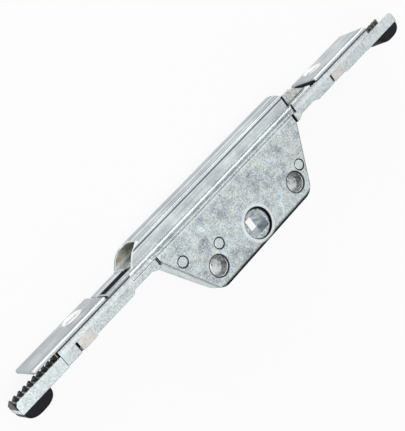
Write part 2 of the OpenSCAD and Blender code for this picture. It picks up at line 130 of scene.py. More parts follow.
class GearColours(bpy.types.PropertyGroup):
    """Colours of the finishes."""

    # Also laid as painted shade along outlines, edges and the front of the wings
    zinc_shade: colour_setting("Zinc, shade", "Darkest cloud on the cast zinc", "#768386")
    zinc_violet: colour_setting("Zinc, violet", "Violet cloud on the cast zinc", "#adb3bb")
    zinc_grey: colour_setting("Zinc, grey", "Main grey of the cast zinc", "#c0cacc")
    zinc_straw: colour_setting("Zinc, straw", "Straw cloud on the cast zinc", "#cad1ca")
    zinc_blue: colour_setting("Zinc, blue", "Pale blue cloud on the cast zinc", "#c1d1d6")
    # Also laid as painted light over the shadow of the gap round the rail
    zinc_light: colour_setting("Zinc, light", "Lightest cloud on the cast zinc", "#e9f3f6")
    # Laid as bare metal and as a painted highlight on edges, bends, ledges and hole rims
    bare_metal_and_highlight: colour_setting("Bare edge", "Burnished zinc on worn edges", "#eff5f6")
    # Laid as old oil and as painted shade in corners, bores, slits, gaps and along edges
    crevice_oil_and_shade: colour_setting("Crevice", "Old oil in the corners", "#0f1111")
    # Also laid as painted shade across the cover and the wings
    strip_dark: colour_setting("Strip, dark", "Dark lines on drawn strip", "#8f989b")
    strip_grey: colour_setting("Strip, grey", "Main grey of drawn strip", "#c2cacb")
    strip_light: colour_setting("Strip, light", "Light lines on drawn strip", "#e8eeee")
    grease_dark: colour_setting("Grease, dark", "Thick grease inside the cover", "#8d8a76")
    grease_light: colour_setting("Grease, light", "Thin grease inside the cover", "#e6e3d8")
    oil_dark: colour_setting("Oiled steel", "Oil film on the toothed bar", "#1f231d")
    # A painted highlight line on the teeth
    tooth_highlight: colour_setting("Tooth gap", "Worn floor of the gap between two teeth", "#9aa093")
    straw_dark: colour_setting("Passivate, dark", "Darker patches of the yellow passivate", "#c6c3bd")
    # Also laid as a light line along the crease inside the cover
    straw_light: colour_setting("Passivate, light", "Lighter patches of the yellow passivate", "#dfddd8")
    steel_dark: colour_setting("Steel, dark", "Darker turning marks on machined steel", "#76848a")
    steel_light: colour_setting("Steel, light", "Lighter turning marks on machined steel", "#ccd5d8")
    post_dark: colour_setting("Post, dark", "Oil on the headed posts", "#2e3333")
    # Also laid as a painted highlight in the screw funnels
    post_light: colour_setting("Post, light", "Bright metal on the headed posts", "#fbfdfd")
    nylon: colour_setting("Nylon", "Blue-black moulded nylon", "#0d0d17")
    nylon_scuff: colour_setting("Nylon scuff", "Rubbed patches on the nylon", "#181822")
    floor: colour_setting("Floor", "Pale studio floor", "#f4f4f4")
    card: colour_setting("Card", "Black card that the metal reflects", "#0a0a0a")


class GearStage(bpy.types.PropertyGroup):
    """Place and lens of the camera, and the level of the lamps."""

    camera_place: bpy.props.FloatVectorProperty(
        name="Camera place", description="Camera position in the row frame", subtype="TRANSLATION",
        unit="LENGTH", size=3, default=(-0.1664, 0.1070, 0.2919))
    camera_right: bpy.props.FloatVectorProperty(
        name="Camera right", description="Direction of the picture's right side", subtype="DIRECTION",
        size=3, default=(0.6163, -0.6021, 0.5077))
    camera_up: bpy.props.FloatVectorProperty(
        name="Camera up", description="Direction of the picture's upper side", subtype="DIRECTION",
        size=3, default=(0.6503, 0.7526, 0.1032))
    lens: bpy.props.FloatProperty(
        name="Lens", description="Focal length on a 36 mm sensor", default=87.7, unit="CAMERA")
    key_power: bpy.props.FloatProperty(
        name="Key lamp", description="Power of the lamp beyond the sash edge", default=1.6, min=0.0, unit="POWER")
    fill_power: bpy.props.FloatProperty(
        name="Fill lamp", description="Power of the lamp above the camera", default=1.4, min=0.0, unit="POWER")


def add(tree, kind, inputs=None, stops=None, out=None, **settings):
    """Adds a node, applies its settings and colour stops, and fills or links its inputs.

    Gives back the output that is asked for, or the node itself.
    """
    node = tree.nodes.new(kind)
    for name, value in settings.items():
        setattr(node, name, value)
    for name, value in (inputs or {}).items():
        if isinstance(value, bpy.types.NodeSocket):
            tree.links.new(value, node.inputs[name])
        else:
            node.inputs[name].default_value = value
    if stops:
        ramp = node.color_ramp
        while len(ramp.elements) < len(stops):
            ramp.elements.new(1.0)
        for element, (place, colour) in zip(ramp.elements, stops):
            element.position = place
            element.color = colour
    return node if out is None else node.outputs[out]


class Finish:
    """A material under way: its tree, its shader, its object coordinates and the colour so far."""

    def __init__(self, name, settings):
        self.material = bpy.data.materials.new(name)
        self.material.use_nodes = True
        self.tree = self.material.node_tree
        self.shader = self.tree.nodes["Principled BSDF"]
        self.sizes, self.colours = settings.gear_sizes, settings.gear_colours
        self.place = add(self.tree, "ShaderNodeTexCoord", out="Object")
        self.axes = add(self.tree, "ShaderNodeSeparateXYZ", {"Vector": self.place}).outputs
        self.colour = None

    def lay(self, colour, share, value, start, end):
        """Lays a colour over the one so far: none of it where the value is at its start, its share at the end."""
        part = add(self.tree, "ShaderNodeMapRange", {
            "Value": value, "From Min": start, "From Max": end, "To Max": share}, out="Result")
        self.colour = add(self.tree, "ShaderNodeMix", {
            0: part, 6: self.colour, 7: colour}, out=2, data_type="RGBA")

    def brighten(self, share):
        """Rubs bright metal all over the colour so far, by a fixed share."""
        if share:
            self.colour = add(self.tree, "ShaderNodeMix", {
                0: share, 6: self.colour, 7: self.colours.bare_metal_and_highlight}, out=2, data_type="RGBA")

    def lines(self, lines):
        """Lays soft straight lines over the colour, in millimetres; most are painted highlights and painted shade.

        Each has the direction across it, its place along that, half its width, a colour and a
        share. Where a direction with two ends follows, the line keeps to that stretch.
        """
        faded, full = 1.2, 0.6
        for across, centre, half, colour, share, *span in lines:
            at = add(self.tree, "ShaderNodeVectorMath", {
                0: self.place, 1: across}, out="Value", operation="DOT_PRODUCT")
            off = add(self.tree, "ShaderNodeMath", {0: at, 1: centre * MM}, out="Value", operation="SUBTRACT")
            away = add(self.tree, "ShaderNodeMath", {0: off}, out="Value", operation="ABSOLUTE")
            for along, low, high in span:
                at = add(self.tree, "ShaderNodeVectorMath", {
                    0: self.place, 1: along}, out="Value", operation="DOT_PRODUCT")
                off = add(self.tree, "ShaderNodeMath", {
                    0: at, 1: (low + high) / 2 * MM}, out="Value", operation="SUBTRACT")
                end = add(self.tree, "ShaderNodeMath", {0: off}, out="Value", operation="ABSOLUTE")
                past = add(self.tree, "ShaderNodeMath", {
                    0: end, 1: (high - low) / 2 * MM}, out="Value", operation="SUBTRACT")
                away = add(self.tree, "ShaderNodeMath", {0: away, 1: past}, out="Value", operation="MAXIMUM")
            self.lay(colour, share, away, faded * half * MM, full * half * MM)

    def edges_and_corners(self, radius, oil_and_shade=0.95, wear_and_highlight=0.6):
        """Lightens outer edges as wear and a painted highlight, darkens corners with old oil and painted shade, and
        gives back the rounded edge normal.

        An edge is where the rounded normal turns away from the flat one, by the cosine between
        them, and a corner is where little of the open sky is seen within a short reach.
        """
        corner_reach, edge_turn, shut_in = 1.4, (0.985, 0.86), (0.75, 0.25)
        bevel = add(self.tree, "ShaderNodeBevel", {"Radius": radius}, out="Normal", samples=8)
        flat = add(self.tree, "ShaderNodeNewGeometry", out="Normal")
        turn = add(self.tree, "ShaderNodeVectorMath", {0: bevel, 1: flat}, out="Value", operation="DOT_PRODUCT")
        # Wear and a painted highlight: bare metal where the rounded normal turns away from the flat one
        self.lay(self.colours.bare_metal_and_highlight, wear_and_highlight, turn, *edge_turn)
        sky = add(self.tree, "ShaderNodeAmbientOcclusion", {"Distance": corner_reach * MM}, out="AO", samples=8)
        # Old oil and painted shade where little open sky is seen
        self.lay(self.colours.crevice_oil_and_shade, oil_and_shade, sky, *shut_in)
        return bevel

    def done(self, pattern, smooth, rough, height, depth, normal=None, metallic=0.0, strength=0.3):
        """Links the colour, a roughness that follows a pattern, and a bump, and gives back the material."""
        pattern_low, pattern_high = 0.3, 0.7
        bump = add(self.tree, "ShaderNodeBump", {"Strength": strength, "Distance": depth * MM, "Height": height})
        if normal:
            self.tree.links.new(normal, bump.inputs["Normal"])
        gloss = add(self.tree, "ShaderNodeMapRange", {
            "Value": pattern, "From Min": pattern_low, "From Max": pattern_high,
            "To Min": smooth, "To Max": rough}, out="Result")
        self.tree.links.new(self.colour, self.shader.inputs["Base Color"])
        self.tree.links.new(gloss, self.shader.inputs["Roughness"])
        self.tree.links.new(bump.outputs["Normal"], self.shader.inputs["Normal"])
        self.shader.inputs["Metallic"].default_value = metallic
        return self.material


def cast_zinc(name, settings, holes=(), lines=(), edge=None, clouds=1.0, grainy=1.0, bright=0.0, oil_and_shade=0.95):
    """Zinc die casting, bright passivated: a grainy grey skin with violet, straw and blue clouds.

    The clouds give the eye soft patches about a centimetre wide and the grain breaks up the
    reflections. The grain is drawn coarser than the real one, so that it shows. Old oil and
    painted shade darken the bores and a thin ring round each rivet and screw hole, and the rim
    of the spindle hole is lightened as rubbed metal and a painted highlight. The bottom edge of
    the case has a larger radius than the others.
    """
    low_edge, low_edge_end = -5.6, -5.3
    blotch_to_grain, grain_share, blotch_share = 0.22, 0.95, 0.3
    dark_specks, light_specks = (0.52, 0.30), (0.48, 0.70)
    collar_end, collar_foot, collar_full, collar_rise = 1.5, 1.4, 0.9, 2.0
    look = Finish(name, settings)
    tree, sizes, colours = look.tree, look.sizes, look.colours
    cloud = add(tree, "ShaderNodeTexNoise", {
        "Vector": look.place, "Scale": 1 / sizes.cloud, "Detail": 6.0, "Roughness": 0.6, "Distortion": 0.4}, out="Fac")
    tints = add(tree, "ShaderNodeValToRGB", {"Fac": cloud}, stops=[
        (0.31, colours.zinc_shade), (0.42, colours.zinc_violet), (0.48, colours.zinc_grey),
        (0.53, colours.zinc_straw), (0.59, colours.zinc_blue), (0.69, colours.zinc_light)], out="Color")
    look.colour = add(tree, "ShaderNodeMix", {
        0: clouds, 6: colours.zinc_grey, 7: tints}, out=2, data_type="RGBA")
    grain = add(tree, "ShaderNodeTexNoise", {
        "Vector": look.place, "Scale": 1 / sizes.speckle, "Detail": 6.0, "Roughness": 0.7}, out="Fac")
    blotch = add(tree, "ShaderNodeTexNoise", {
        "Vector": look.place, "Scale": blotch_to_grain / sizes.speckle, "Detail": 2.0, "Roughness": 0.6}, out="Fac")
    for pattern, share in ((grain, grain_share), (blotch, blotch_share * clouds)):
        look.lay(colours.zinc_shade, share * grainy, pattern, *dark_specks)
        look.lay(colours.bare_metal_and_highlight, share * grainy, pattern, *light_specks)
    look.brighten(bright)
    radius = add(tree, "ShaderNodeMapRange", {
        "Value": look.axes["Y"], "From Min": low_edge * MM, "From Max": low_edge_end * MM,
        "To Min": sizes.low_round, "To Max": edge or sizes.edge_round}, out="Result")
    normal = look.edges_and_corners(radius, oil_and_shade)
    look.lines(lines)
    height = grain
    flat = add(tree, "ShaderNodeVectorMath", {0: look.place, 1: (1, 1, 0)}, out="Vector", operation="MULTIPLY")
    for x, y, hole, ring, collar in holes:
        reach = add(tree, "ShaderNodeVectorMath", {
            0: flat, 1: (x * MM, y * MM, 0)}, out="Value", operation="DISTANCE")
        # Rubbed metal and a painted highlight on the collar, then old oil and painted shade on the bore and a thin ring
        # round it
        look.lay(colours.bare_metal_and_highlight, collar, reach, (hole + collar_end) * MM, (hole + collar_full) * MM)
        look.lay(colours.crevice_oil_and_shade, 0.95, reach, (hole + 1.5 * ring) * MM, (hole + 0.5 * ring) * MM)
        raised = add(tree, "ShaderNodeMapRange", {
            "Value": reach, "From Min": (hole + collar_foot) * MM, "From Max": (hole + collar_full) * MM,
            "To Max": collar_rise}, out="Result")
        height = add(tree, "ShaderNodeMath", {0: height, 1: raised}, out="Value", operation="ADD")
    return look.done(grain, 0.28, 0.46, height, 0.05, normal, metallic=0.85, strength=0.35)


def drawn_strip(name, settings, lines=(), holes=(), bright=0.0, oil_and_shade=0.3):
    """Zinc plated steel strip, cold drawn: soft clouds drawn out along the piece, under fine long lines.

    The lines are about half a millimetre apart, coarser than the real ones so that they show,
    and several centimetres long, so the strip shows long bands where the cast zinc shows
    clouds. A painted white highlight surrounds each hole, where its countersink catches the light.
    """
    sink_highlight_end, sink_highlight_full = 0.5, 0.25
    streak_pull, cloud_pull, cloud_share = 0.02, 0.55, 0.72
    look = Finish(name, settings)
    tree, sizes, colours = look.tree, look.sizes, look.colours
    drawn = add(tree, "ShaderNodeMapping", {"Vector": look.place, "Scale": (streak_pull, 1.0, 1.0)}, out="Vector")
    streak = add(tree, "ShaderNodeTexNoise", {
        "Vector": drawn, "Scale": 1 / sizes.streak, "Detail": 3.0, "Roughness": 0.63}, out="Fac")
    longer = add(tree, "ShaderNodeMapping", {"Vector": look.place, "Scale": (cloud_pull, 1.0, 1.0)}, out="Vector")
    cloud = add(tree, "ShaderNodeTexNoise", {
        "Vector": longer, "Scale": 1 / sizes.cloud, "Detail": 6.0, "Roughness": 0.68}, out="Fac")
    mixed = add(tree, "ShaderNodeMix", {0: cloud_share, 2: streak, 3: cloud}, out=0, data_type="FLOAT")
    look.colour = add(tree, "ShaderNodeValToRGB", {"Fac": mixed}, stops=[
        (0.36, colours.strip_dark), (0.45, colours.zinc_violet), (0.52, colours.strip_grey),
        (0.62, colours.strip_light)], out="Color")
    look.brighten(bright)
    normal = look.edges_and_corners(sizes.edge_round, oil_and_shade)
    look.lines(lines)
    flat = add(tree, "ShaderNodeVectorMath", {0: look.place, 1: (1, 0, 1)}, out="Vector", operation="MULTIPLY")
    for x, z, hole in holes:
        reach = add(tree, "ShaderNodeVectorMath", {
            0: flat, 1: (x * MM, 0, z * MM)}, out="Value", operation="DISTANCE")
        # Painted highlight: white round each hole, where its countersink catches the light
        look.lay(WHITE, 1.0, reach, (hole + sink_highlight_end) * MM, (hole + sink_highlight_full) * MM)
    return look.done(streak, 0.26, 0.42, streak, 0.03, normal, metallic=0.85)


def sheared_edge(name, settings, lines=()):
    """Sheared edge of plated strip: bare burnished metal with a fine grain."""
    look = Finish(name, settings)
    grain = add(look.tree, "ShaderNodeTexNoise", {
        "Vector": look.place, "Scale": 1 / look.sizes.speckle, "Detail": 3.0, "Roughness": 0.63}, out="Fac")
    look.colour = add(look.tree, "ShaderNodeValToRGB", {"Fac": grain}, stops=[
        (0.3, look.colours.zinc_light), (0.6, look.colours.bare_metal_and_highlight)], out="Color")
    look.lines(lines)
    return look.done(grain, 0.3, 0.45, grain, 0.02, metallic=0.6)


def oiled_steel(name, settings):
    """Carbon steel bar, blackened and oiled: nearly black teeth with a painted highlight line between them.

    On the left end the line lies in the middle of each gap, on the right end on the flank of the next tooth.
    """
    line_end, line_full = 0.3, 0.12
    corner_reach, shut_in = 1.0, (0.75, 0.35)
    look = Finish(name, settings)
    tree, sizes, colours = look.tree, look.sizes, look.colours
    smear = add(tree, "ShaderNodeTexNoise", {
        "Vector": look.place, "Scale": 1 / sizes.speckle, "Detail": 4.0, "Roughness": 0.63}, out="Fac")
    look.colour = add(tree, "ShaderNodeValToRGB", {"Fac": smear}, stops=[
        (0.35, colours.crevice_oil_and_shade), (0.7, colours.oil_dark)], out="Color")
    # Painted shade where little open sky is seen
    sky = add(tree, "ShaderNodeAmbientOcclusion", {"Distance": corner_reach * MM}, out="AO", samples=8)
    look.lay(colours.crevice_oil_and_shade, 0.95, sky, *shut_in)
    right = add(tree, "ShaderNodeMath", {0: look.axes["X"], 1: 0.0}, out="Value", operation="GREATER_THAN")
    start = add(tree, "ShaderNodeMath", {
        0: right, 1: TOOTH_SHIFT * MM, 2: TOOTH_GAP * MM}, out="Value", operation="MULTIPLY_ADD")
    run = add(tree, "ShaderNodeMath", {0: look.axes["X"], 1: start}, out="Value", operation="SUBTRACT")
    away = add(tree, "ShaderNodeMath", {0: run, 1: TOOTH_PITCH / 2 * MM}, out="Value", operation="PINGPONG")
    side = add(tree, "ShaderNodeMath", {0: look.axes["X"]}, out="Value", operation="ABSOLUTE")
    short = add(tree, "ShaderNodeMath", {0: TOOTH_START * MM, 1: side}, out="Value", operation="SUBTRACT")
    apart = add(tree, "ShaderNodeMath", {0: away, 1: short}, out="Value", operation="MAXIMUM")
    # A painted highlight line on the teeth, one to each pitch
    look.lay(colours.tooth_highlight, 0.8, apart, line_end * MM, line_full * MM)
    bevel = add(tree, "ShaderNodeBevel", {"Radius": 0.6 * sizes.edge_round}, out="Normal", samples=6)
    return look.done(smear, 0.34, 0.5, smear, 0.04, bevel, metallic=0.6)


def two_tone_metal(name, settings, dark, light, width, stretch=(1, 1, 1), metallic=0.9, rough=0.3, lines=(), oil_and_shade=0.95,
                   smear=None):
    """A plated, turned or greased metal in two tones, with rounded edges, and old oil and painted shade in its corners.

    A painted shadow lies on the front face beyond a circle, given by its middle and radius, and shows as a crescent by
    the rim.
    Depth counts as nearness to the middle, three for one, so the painted shadow stays off what lies deeper than the
    hub's face.
    """
    look = Finish(name, settings)
    drawn = add(look.tree, "ShaderNodeMapping", {"Vector": look.place, "Scale": stretch}, out="Vector")
    patches = add(look.tree, "ShaderNodeTexNoise", {
        "Vector": drawn, "Scale": 1 / (width * MM), "Detail": 4.0, "Roughness": 0.63}, out="Fac")
    look.colour = add(look.tree, "ShaderNodeValToRGB", {"Fac": patches}, stops=[
        (0.35, dark), (0.65, light)], out="Color")
    normal = look.edges_and_corners(look.sizes.edge_round, oil_and_shade)
    look.lines(lines)
    # The smear is painted shadow: a dark crescent on the face beside the rim above it
    if smear:
        middle_x, middle_y, radius = smear
        hub_face, depth_weight, soft = 0.7, 3.0, 0.15
        border = radius - depth_weight * hub_face
        flat = add(look.tree, "ShaderNodeVectorMath", {0: look.place, 1: (1, 1, 0)}, out="Vector", operation="MULTIPLY")
        reach = add(look.tree, "ShaderNodeVectorMath", {
            0: flat, 1: (middle_x * MM, middle_y * MM, 0)}, out="Value", operation="DISTANCE")
        shallow = add(look.tree, "ShaderNodeMath", {
            0: look.axes["Z"], 1: depth_weight, 2: reach}, out="Value", operation="MULTIPLY_ADD")
        look.lay(look.colours.crevice_oil_and_shade, 0.95, shallow, (border - soft) * MM, (border + soft) * MM)
    return look.done(patches, rough - 0.07, rough + 0.1, patches, 0.03, normal, metallic=metallic)


def moulded_nylon(name, settings, shine=0.2):
    """Nylon, injection moulded and blue-black: a dull satin skin with rubbed patches and a fine eroded grain.

    The grain is drawn coarser than the real one, so that it shows.
    """
    rub_width, grain_width = 3.0 * MM, 0.3 * MM
    look = Finish(name, settings)
    rub = add(look.tree, "ShaderNodeTexNoise", {
        "Vector": look.place, "Scale": 1 / rub_width, "Detail": 4.0, "Roughness": 0.63}, out="Fac")
    look.colour = add(look.tree, "ShaderNodeValToRGB", {"Fac": rub}, stops=[
        (0.45, look.colours.nylon), (0.75, look.colours.nylon_scuff)], out="Color")
    grain = add(look.tree, "ShaderNodeTexNoise", {
        "Vector": look.place, "Scale": 1 / grain_width, "Detail": 3.0, "Roughness": 0.63}, out="Fac")
    look.shader.inputs["Specular IOR Level"].default_value = shine
    return look.done(rub, 0.45, 0.62, grain, 0.02)


def finish(names, material):
    """Gives CAD nodes one material."""
    for name in names:
        NODES[name].data.materials.clear()
        NODES[name].data.materials.append(material)


def skin(grid, wrap_rows=False):
    """Points and quads of a grid whose columns close on themselves, and whether the quads face inward.

    The sign is that of the volume they close round their middle, the sum of six-fold tetrahedra.
    """
    rows, columns = grid.shape[:2]
    index = np.arange(rows * columns).reshape(rows, columns)
    index = np.concatenate([index, index[:, :1]], axis=1)
    if wrap_rows:
        index = np.concatenate([index, index[:1]], axis=0)
    quads = np.stack([index[:-1, :-1], index[1:, :-1], index[1:, 1:], index[:-1, 1:]], axis=-1).reshape(-1, 4)
    points = grid.reshape(-1, 3)
    a, b, c, d = (points[quads[:, k]] - points.mean(axis=0) for k in range(4))
    volume = np.sum(a * np.cross(b, c)) + np.sum(a * np.cross(c, d))
    return points, quads, volume < 0


def capped(grid, side=0):
    """Points and faces of a grid of rings, with a tag for its side, and a flat face on its first and last ring."""
    points, quads, inward = skin(grid)
    columns = grid.shape[1]
    ends = np.stack([np.arange(columns), len(points) - 1 - np.arange(columns)])
    turn = -1 if inward else 1
    return points, [(quads[:, ::turn], side), (ends[:, ::turn], 0)]


def piece(name, parts, materials, node, crease):
    """Makes one mesh from points in millimetres and groups of faces, and lets it take a node's place."""
    faces, tags, base = [], [], 0
    for points, groups in parts:
        for group, tag in groups:
            faces += (group + base).tolist()
            tags += [tag] * len(group)
        base += len(points)
    mesh = bpy.data.meshes.new(name)
    mesh.from_pydata((np.concatenate([points for points, groups in parts]) * MM).tolist(), [], faces)
    for material in materials:
        mesh.materials.append(material)
    mesh.polygons.foreach_set("material_index", tags)
    mesh.shade_smooth()
    mesh.set_sharp_from_angle(angle=np.radians(crease))
    mesh.update()
    thing = bpy.data.objects.new(name, mesh)
    bpy.context.scene.collection.objects.link(thing)
    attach(thing, "housing")
    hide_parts(node)


def even(path, step):
    """Points at equal steps along a path of straight pieces, by its running length."""
    run = np.concatenate([[0.0], np.cumsum(np.linalg.norm(np.diff(path, axis=0), axis=1))])
    at = np.linspace(0.0, run[-1], int(round(run[-1] / step)) + 1)
    return np.stack([np.interp(at, run, path[:, k]) for k in (0, 1)], axis=1)


def eased(path, reach):
    """Rounds the corners of an even path: each point becomes the mean of its neighbours within reach."""
    count = np.arange(1, reach + 1)[:, None]
    before = path[0] - count[::-1] * (path[1] - path[0])
    after = path[-1] + count * (path[-1] - path[-2])
    padded = np.concatenate([before, path, after])
    window = np.ones(2 * reach + 1) / (2 * reach + 1)
    return np.stack([np.convolve(padded[:, k], window, "valid") for k in (0, 1)], axis=1)


def lathe(profile, centre, turns):
    """Carries a profile round an upright axis: x and y are centre + radius (cos, sin), z is the height."""
    angle = np.linspace(0.0, 2 * np.pi, turns, endpoint=False)
    flat = np.array(centre) + profile[:, None, :1] * np.stack([np.cos(angle), np.sin(angle)], axis=1)
    return np.concatenate([flat, np.broadcast_to(profile[:, None, 1:], (*flat.shape[:2], 1))], axis=2)


def mouth_start(height, foot, low):
    """Where the cover begins at a height: a slant of one in one that a quadratic curve rounds into the crown."""
    slant_end, corner, crown_start = np.array([[2.2, 2.2], [4.4, 4.4], [7.6, 4.7]])
    t = np.linspace(0.0, 1.0, 16)[:, None]
    bend = (1 - t) ** 2 * slant_end + 2 * t * (1 - t) * corner + t ** 2 * crown_start
    line = np.concatenate([[[-1.0, -1.0]], bend])
    return foot + np.interp(height - low, line[:, 1], line[:, 0])


def cover_grid(low, high, sheet, bend):
    """The bent cover as rings along the bar: a front wall, a low arch and a back wall, with a sheet's thickness.

    Each ring runs along the outside and back along the inside, which lies one thickness in
    along the normal. The first ring follows the slanted mouth, which stands further back at
    the front wall than at the back wall, and the others go straight on. A bell curve across
    the ring presses a groove into the front wall and a flute into the arch.
    """
    step, arch_r, lean = 0.12, 12.3, 1.5
    groove_y, groove_w, groove_deep = 24.05, 0.16, 0.12
    flute_z, flute_w, flute_deep, flute_low = -3.6, 0.25, 0.06, 25.0
    middle, half = (high[2] + low[2]) / 2, (high[2] - low[2]) / 2
    sweep = np.linspace(1.0, -1.0, 60) * np.arcsin(half / arch_r)
    arch = np.stack([high[1] - arch_r + arch_r * np.cos(sweep), middle + arch_r * np.sin(sweep)], axis=1)
    path = np.concatenate([[[low[1], high[2]]], arch, [[low[1], low[2]]]])
    outer = eased(even(path, step), int(round(bend / step / 2)))
    along = np.gradient(outer, axis=0)
    along /= np.linalg.norm(along, axis=1, keepdims=True)
    inward = np.stack([along[:, 1], -along[:, 0]], axis=1)
    inner = outer + sheet * inward
    inner[[0, -1], 0] = low[1]
    groove = np.exp(-((outer[:, 0] - groove_y) / groove_w) ** 2) * (outer[:, 1] > middle)
    flute = np.exp(-((outer[:, 1] - flute_z) / flute_w) ** 2) * (outer[:, 0] > flute_low)
    outer = outer + inward * (groove_deep * groove + flute_deep * flute)[:, None]
    loop = np.concatenate([outer, inner[::-1]])
    rows = np.linspace(0.0, 1.0, 7)[:, None]
    skew = lean * (loop[:, 1] - low[2]) / (high[2] - low[2])
    x = (mouth_start(loop[:, 0], low[0], low[1]) + skew) * (1 - rows) + high[0] * rows
    return np.stack([x, *(np.broadcast_to(loop[:, k], x.shape) for k in (0, 1))], axis=2)


def tab_grid(low, high, sheet):
    """The floor tab of the cover's mouth as two rings, its underside and its top: four corners, one slanted edge."""
    back_start, front_start, end, thick = 0.2, 2.1, 3.2, 0.6
    front, back = high[2] - sheet / 2, low[2] + sheet / 2
    corners = np.array([[back_start, back], [front_start, front], [end, front], [end, back]]) + [low[0], 0.0]
    level = np.array([low[1], low[1] + thick])[:, None]
    return np.stack([np.broadcast_to(part, (2, 4)) for part in (corners[:, 0], level, corners[:, 1])], axis=2)


def wing_grid(low, high, hole, hole_r, sink, roll):
    """A plate with one hole as a closed surface of two parameters.

    One parameter runs round the outline, a rectangle with rounded corners. The other runs
    round the section there: out over the top from the countersink to the rolled edge, down
    it, back along the underside and up the wall of the hole.
    """
    corner, count, chamfer = 0.8, 22, 0.15
    x0, x1, z0, z1 = low[0] + corner, high[0] - corner, low[2] + corner, high[2] - corner
    turn = np.linspace(0.0, np.pi / 2, 7)
    arcs = [np.stack([x + corner * np.cos(turn + a), z + corner * np.sin(turn + a)], axis=1)
            for x, z, a in ((x1, z1, 0.0), (x0, z1, np.pi / 2), (x0, z0, np.pi), (x1, z0, 1.5 * np.pi))]
    sides = [arcs[k][-1] + (arcs[(k + 1) % 4][0] - arcs[k][-1]) * np.linspace(0, 1, count)[1:-1, None]
             for k in range(4)]
    outline = np.concatenate([part for pair in zip(arcs, sides) for part in pair])
    ahead = np.roll(outline, -1, axis=0) - np.roll(outline, 1, axis=0)
    ahead /= np.linalg.norm(ahead, axis=1, keepdims=True)
    outside = np.stack([ahead[:, 1], -ahead[:, 0]], axis=1)
    ray = outline - hole
    ray /= np.linalg.norm(ray, axis=1, keepdims=True)
    top, bottom = high[1], low[1]
    shelf = outline - outside * roll
    sink_edge = hole + ray * (hole_r + sink)
    rings = [(sink_edge + (shelf - sink_edge) * t, top) for t in (0.0, 0.08, 0.3, 0.6, 0.92)]
    rings += [(shelf + outside * roll * np.cos(a), top - roll + roll * np.sin(a))
              for a in np.linspace(np.pi / 2, 0.0, 7)]
    rings += [(outline, bottom + chamfer), (outline - outside * chamfer, bottom)]
    rings += [(hole + ray * hole_r, bottom), (hole + ray * hole_r, top - sink)]
    return np.stack([np.stack([flat[:, 0], np.full(len(flat), y), flat[:, 1]], axis=1) for flat, y in rings])


def rivet_profile(low, high, crown):
    """Radius and height of a rivet from its front head to its back head: crown, rounded lip, shank and the same back.

    The crown falls with the square of the radius, and the lip is a quarter circle.
    """
    head_r, shank_r, head_t, lip, centre = 1.85, 1.3, 0.8, 0.3, 0.2
    across = np.linspace(centre, head_r - lip, 6)
    bend = np.linspace(np.pi / 2, 0.0, 6)[1:]
    edge = -crown * ((head_r - lip) / head_r) ** 2
    head = np.concatenate([
        np.stack([across, -crown * (across / head_r) ** 2], axis=1),
        np.stack([head_r - lip + lip * np.cos(bend), edge - lip + lip * np.sin(bend)], axis=1),
        [[head_r, -head_t], [shank_r, -head_t]]])
    return np.concatenate([head + [0.0, high], (head * [1.0, -1.0] + [0.0, low])[::-1]])


def foot_grid(low, high, seat, power, edge):
    """A half-round foot as rings from one side to the other.

    Each ring is a flat top at the seat and under it half of a superellipse, where the
    sum of the two shares raised to the power is one. Near each side the ring draws in along
    a quarter circle of the edge radius, so the sides are rounded off.
    """
    middle, half, drop = (low[0] + high[0]) / 2, (high[0] - low[0]) / 2, seat - low[1]
    a = np.linspace(0.0, np.pi, 49)
    arc = np.stack([np.sign(np.cos(a)) * np.abs(np.cos(a)) ** (2 / power), -np.abs(np.sin(a)) ** (2 / power)], axis=1)
    top = np.stack([np.linspace(-1.0, 1.0, 14)[1:-1], np.zeros(12)], axis=1)
    loop = np.concatenate([arc, top])
    bend = np.linspace(0.0, np.pi / 2, 7)
    depth = np.concatenate([low[2] + edge * (1 - np.cos(bend)), high[2] - edge * (1 - np.cos(bend[::-1]))])
    inset = np.concatenate([edge * (1 - np.sin(bend)), edge * (1 - np.sin(bend[::-1]))])
    x = middle + loop[:, 0] * (half - inset)[:, None]
    y = seat + loop[:, 1] * (drop - inset)[:, None]
    return np.stack([x, y, np.broadcast_to(depth[:, None], x.shape)], axis=2)


